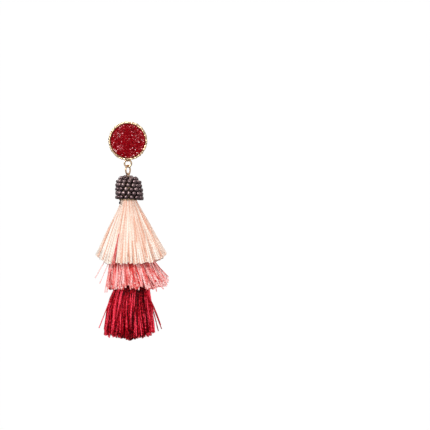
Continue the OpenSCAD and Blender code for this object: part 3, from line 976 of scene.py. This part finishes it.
def build_ties(settings, material):
    """The turns of thread that bind the necks of the two lower tiers."""
    turns = 5
    points = 90
    routes = []
    for node in ("coral_tier", "crimson_tier"):
        tier = TIERS[node]
        neck_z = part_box(node)[0].z + tier["length"] * MM
        turn = np.linspace(0, turns * math.tau, points)
        radius = (tier["neck"] + 0.22) * MM
        x = tier["shift"] * MM + radius * np.cos(turn)
        y = HANG_Y + radius * np.sin(turn)
        routes.append(np.stack([x, y, neck_z + np.linspace(-0.1, 1.5, points) * MM], axis=-1))
    routes = np.array(routes)
    across = np.tile([0.0, 0.0, 1.0], (len(routes), 1))
    radii = np.full(routes.shape[:2], settings.thickness / 2)
    ties = joined_tubes("neck_ties", routes, across, radii, np.full(radii.shape, 0.5))
    dress(ties, material)
    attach(ties, "drop")


# Operators


class EARRING_OT_stud(bpy.types.Operator):
    """Builds the gilt setting and the druzy, and finishes the post behind them"""

    bl_idname = "earring.stud"
    bl_label = "Stud"

    def execute(self, context):
        settings = context.scene.earring_stud
        gilt = gilt_material("crinkled_gilt", settings.gilt_colour, roughness=0.2, crinkle=0.06 * MM)
        post_gilt = gilt_material("post_gilt", settings.gilt_colour, roughness=0.18, crinkle=0.006 * MM)
        build_setting(settings, gilt)
        build_druzy(settings, druzy_material(settings.stone_colour))
        dress(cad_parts["ear_post"], post_gilt)
        return {"FINISHED"}


class EARRING_OT_ring(bpy.types.Operator):
    """Finishes the jump ring and the gilt bell"""

    bl_idname = "earring.ring"
    bl_label = "Jump ring and bell"

    def execute(self, context):
        settings = context.scene.earring_stud
        ring_gilt = gilt_material("ring_gilt", settings.ring_colour, roughness=0.16, crinkle=0.008 * MM)
        bell_gilt = gilt_material("bell_gilt", settings.gilt_colour, roughness=0.3, crinkle=0.03 * MM)
        dress(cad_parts["jump_ring"], ring_gilt)
        dress(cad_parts["cap_liner"], bell_gilt)
        return {"FINISHED"}


class EARRING_OT_cap(bpy.types.Operator):
    """Builds the rows of seed beads"""

    bl_idname = "earring.cap"
    bl_label = "Seed-bead cap"

    def execute(self, context):
        settings = context.scene.earring_cap
        build_beads(settings, bead_material(settings.bead_colour))
        return {"FINISHED"}


class EARRING_OT_tiers(bpy.types.Operator):
    """Builds the three tiers of threads and their ties, and finishes the cord"""

    bl_idname = "earring.tiers"
    bl_label = "Thread tiers"

    def execute(self, context):
        settings = context.scene.earring_thread
        peach = thread_material("peach_thread", settings.peach_colour)
        coral = thread_material("coral_thread", settings.coral_colour)
        crimson = thread_material("crimson_thread", settings.crimson_colour)
        cord = thread_material("ecru_cord", settings.cord_colour)
        wall, full = settings.wall_threads, settings.full_threads
        build_tier("peach_tier", "peach_thread", settings, peach, wall, seed=3, parting=PARTING)
        build_tier("coral_tier", "coral_thread", settings, coral, wall, seed=15, strays=CORAL_STRAYS)
        build_tier("crimson_tier", "crimson_thread", settings, crimson, full, seed=8, strays=CRIMSON_STRAYS)
        build_ties(settings, cord)
        dress(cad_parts["hanging_cord"], cord)
        return {"FINISHED"}


class EARRING_OT_stage(bpy.types.Operator):
    """Builds the camera, the lamps and the pale floor that sweeps up behind the earring"""

    bl_idname = "earring.stage"
    bl_label = "Stage"

    def execute(self, context):
        settings = context.scene.earring_stage
        build_camera(settings)
        build_backdrop(settings)
        build_lamps()
        context.scene.view_settings.view_transform = "Standard"
        return {"FINISHED"}


# Stage


def build_camera(settings):
    """A long lens at the height of the picture's middle, level and square to the stud."""
    data = bpy.data.cameras.new("camera")
    data.sensor_width = 36
    data.lens = data.sensor_width * settings.camera_distance / settings.picture_width
    data.clip_end = 20
    camera = into_scene("camera", data)
    camera.location = (settings.picture_x, HANG_Y - settings.camera_distance, settings.picture_z)
    camera.rotation_euler = (math.pi / 2, 0, 0)
    bpy.context.scene.camera = camera


def sweep_material():
    """A shadeless white, which glows by itself and reflects next to nothing."""
    material, *_, shader = new_material("white_sweep")
    set_inputs(shader, Base_Color=(0.01, 0.01, 0.01, 1), Roughness=1.0, Specular_IOR_Level=0.0)
    set_inputs(shader, Emission_Color=(1, 1, 1, 1), Emission_Strength=1.0)
    return material


def build_backdrop(settings):
    """A pale round sweep: a floor far below, a curve and a wall all round, which light nothing."""
    low = settings.floor_z
    radius = settings.wall_radius
    wall_top = 2.2
    bend = 0.5
    steps = 8
    profile = [(0, 0, low), (radius - bend, 0, low)]
    for step in range(1, steps + 1):
        turn = math.pi / 2 * step / steps
        profile.append((radius - bend + bend * math.sin(turn), 0, low + bend * (1 - math.cos(turn))))
    profile.append((radius, 0, wall_top))
    bm = bmesh.new()
    spin_profile(bm, profile, 64, axis=(0, 0, 1))
    bmesh.ops.reverse_faces(bm, faces=bm.faces)
    backdrop = piece_from(bm, "white_sweep")
    dress(backdrop, sweep_material())
    backdrop.visible_diffuse = False
    backdrop.visible_glossy = False
    backdrop.visible_shadow = False


def add_lamp(name, place, size, power, glints=True):
    """A square soft lamp that faces the earring's middle, and may be left out of the glossy reflections."""
    data = bpy.data.lights.new(name, "AREA")
    data.shape = "SQUARE"
    data.size = size
    data.energy = power
    lamp = into_scene(name, data)
    lamp.location = place
    lamp.visible_glossy = glints
    aim = Vector((0, HANG_Y, -40 * MM))
    lamp.rotation_euler = (aim - Vector(place)).to_track_quat("-Z", "Y").to_euler()


def build_lamps():
    """Soft studio light: a key from the upper left, a fill from the right, two lamps from the sides and one
    from below that light the threads' edges, a small one for glints, a top and a back lamp, and an even
    world."""
    add_lamp("key_lamp", (-0.42, -0.86, 0.34), 0.26, 6.5)
    add_lamp("fill_lamp", (0.34, -0.94, 0.1), 0.4, 3.5, glints=False)
    add_lamp("left_lamp", (-0.8, 0.35, -0.1), 0.5, 3.8, glints=False)
    add_lamp("right_lamp", (0.8, 0.35, -0.1), 0.5, 6.5, glints=False)
    add_lamp("bounce_lamp", (0.05, -0.36, -0.84), 0.6, 4.8, glints=False)
    add_lamp("spark_lamp", (0.35, -0.85, 0.35), 0.14, 1.0)
    add_lamp("top_lamp", (0.0, 0.0, 0.8), 0.7, 3.0)
    add_lamp("back_lamp", (-0.2, 0.9, 0.3), 0.6, 5)
    world = bpy.data.worlds.new("white_room")
    world.use_nodes = True
    set_inputs(world.node_tree.nodes["Background"], Color=(1, 1, 1, 1), Strength=0.45)
    bpy.context.scene.world = world


# Panel and registration


class EARRING_PT_panel(bpy.types.Panel):
    """Lists the earring's pieces and their settings"""

    bl_idname = "EARRING_PT_panel"
    bl_label = "Tassel Earring"
    bl_space_type = "VIEW_3D"
    bl_region_type = "UI"
    bl_category = "Earring"

    def draw(self, context):
        layout = self.layout
        for operator in OPERATORS:
            layout.operator(operator.bl_idname)
        for name in SETTINGS:
            group = getattr(context.scene, name)
            for field in group.__annotations__:
                layout.prop(group, field)


OPERATORS = (EARRING_OT_stud, EARRING_OT_ring, EARRING_OT_cap, EARRING_OT_tiers, EARRING_OT_stage)
SETTINGS = {
    "earring_stud": StudSettings,
    "earring_cap": CapSettings,
    "earring_thread": ThreadSettings,
    "earring_stage": StageSettings,
}


def register():
    """Registers the settings, the operators and the panel."""
    for name, group in SETTINGS.items():
        bpy.utils.register_class(group)
        setattr(bpy.types.Scene, name, PointerProperty(type=group))
    for item in (*OPERATORS, EARRING_PT_panel):
        bpy.utils.register_class(item)


def unregister():
    """Takes away what register added."""
    for item in (EARRING_PT_panel, *reversed(OPERATORS)):
        bpy.utils.unregister_class(item)
    for name, group in SETTINGS.items():
        delattr(bpy.types.Scene, name)
        bpy.utils.unregister_class(group)


def main():
    """Builds every piece."""
    register()
    bpy.ops.earring.stage()
    bpy.ops.earring.stud()
    bpy.ops.earring.ring()
    bpy.ops.earring.cap()
    bpy.ops.earring.tiers()


if __name__ == "__main__":
    main()
